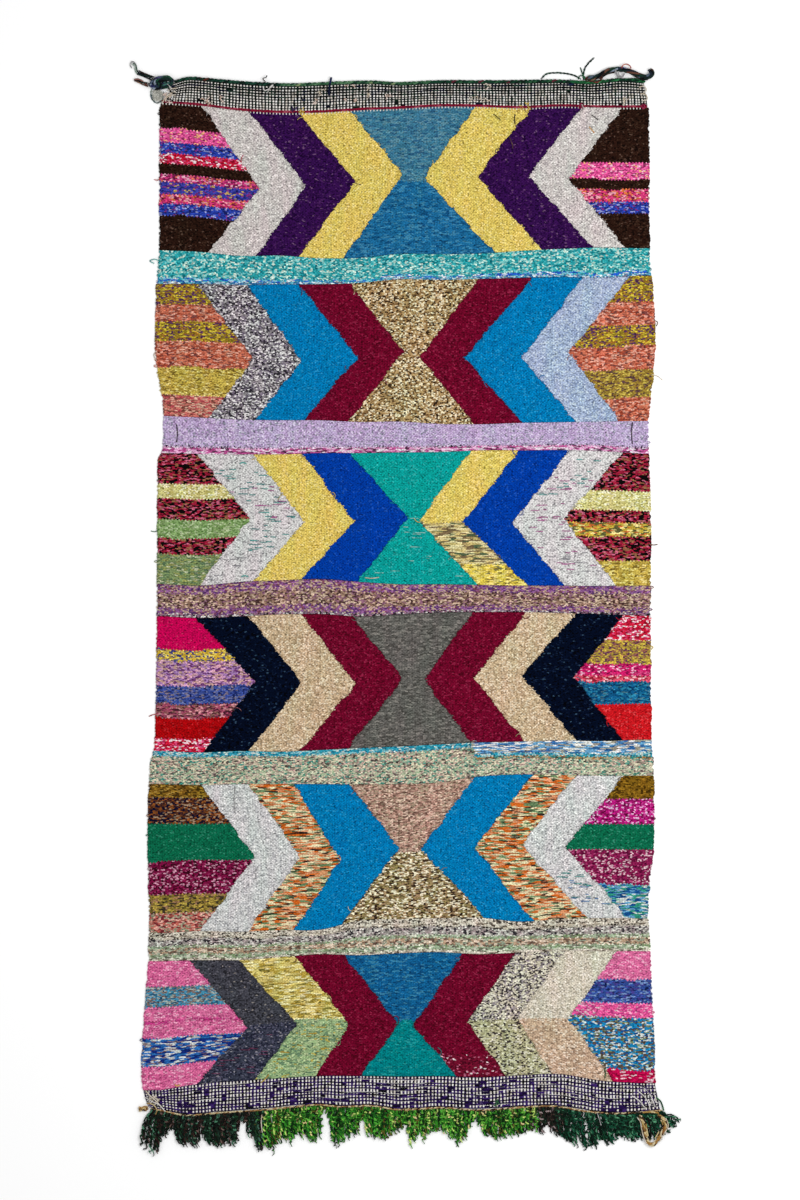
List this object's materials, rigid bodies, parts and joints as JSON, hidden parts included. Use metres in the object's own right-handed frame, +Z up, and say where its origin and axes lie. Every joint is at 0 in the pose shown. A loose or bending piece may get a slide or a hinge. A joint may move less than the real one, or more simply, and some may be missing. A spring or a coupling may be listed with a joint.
{
  "type": "flat-woven boucherouite rug",
  "caption": "Flat-woven boucherouite rug in striped and chevron panels, with open check ends, a yarn fringe and loose corner ties.",
  "frame": {"origin": "on the floor, at the middle of the box that the cloth, its bindings and its fringe fill; the loose corner ties are left out of that box", "axes": "+Y toward the head end, away from the fringe; +X to the right when seen from above with the head up; +Z up out of the face"},
  "size_m": [1.6495, 3.2986, 0.0154],
  "materials": {
    "cloth": "weft-faced flat weave of many coloured wool, acrylic and rag yarns over cream cotton warps, matt",
    "green_binding": "two-strand twined dark green yarn, matt",
    "tan_binding": "twined tan cord, matt",
    "fringe_yarn": "bulky twisted yarn, dark green, mid green and brown-black, matt",
    "dark_tie": "dark blue-black yarn with pale flecks, matt",
    "pale_tie": "pale grey flattened yarn end, matt",
    "grey_tie": "thin grey-green cord, matt",
    "green_tie": "thin dark green cord, matt",
    "brown_tie": "twisted bundle of brown, green and grey yarns, matt",
    "tan_tie": "twisted tan and brown cord, matt"
  },
  "bodies": {
    "root": {"rug_cloth": "cloth", "head_binding": "green_binding", "foot_binding": "tan_binding", "foot_fringe": "fringe_yarn", "head_left_knot": "dark_tie", "head_left_pad": "pale_tie", "foot_left_stub": "tan_tie", "head_left_tail_long": "dark_tie", "head_left_tail_short": "dark_tie", "head_left_loop": "grey_tie", "head_right_arc": "green_tie", "head_right_end": "green_tie", "head_right_bundle": "brown_tie", "foot_right_loop": "tan_tie"}
  },
  "joints": []
}
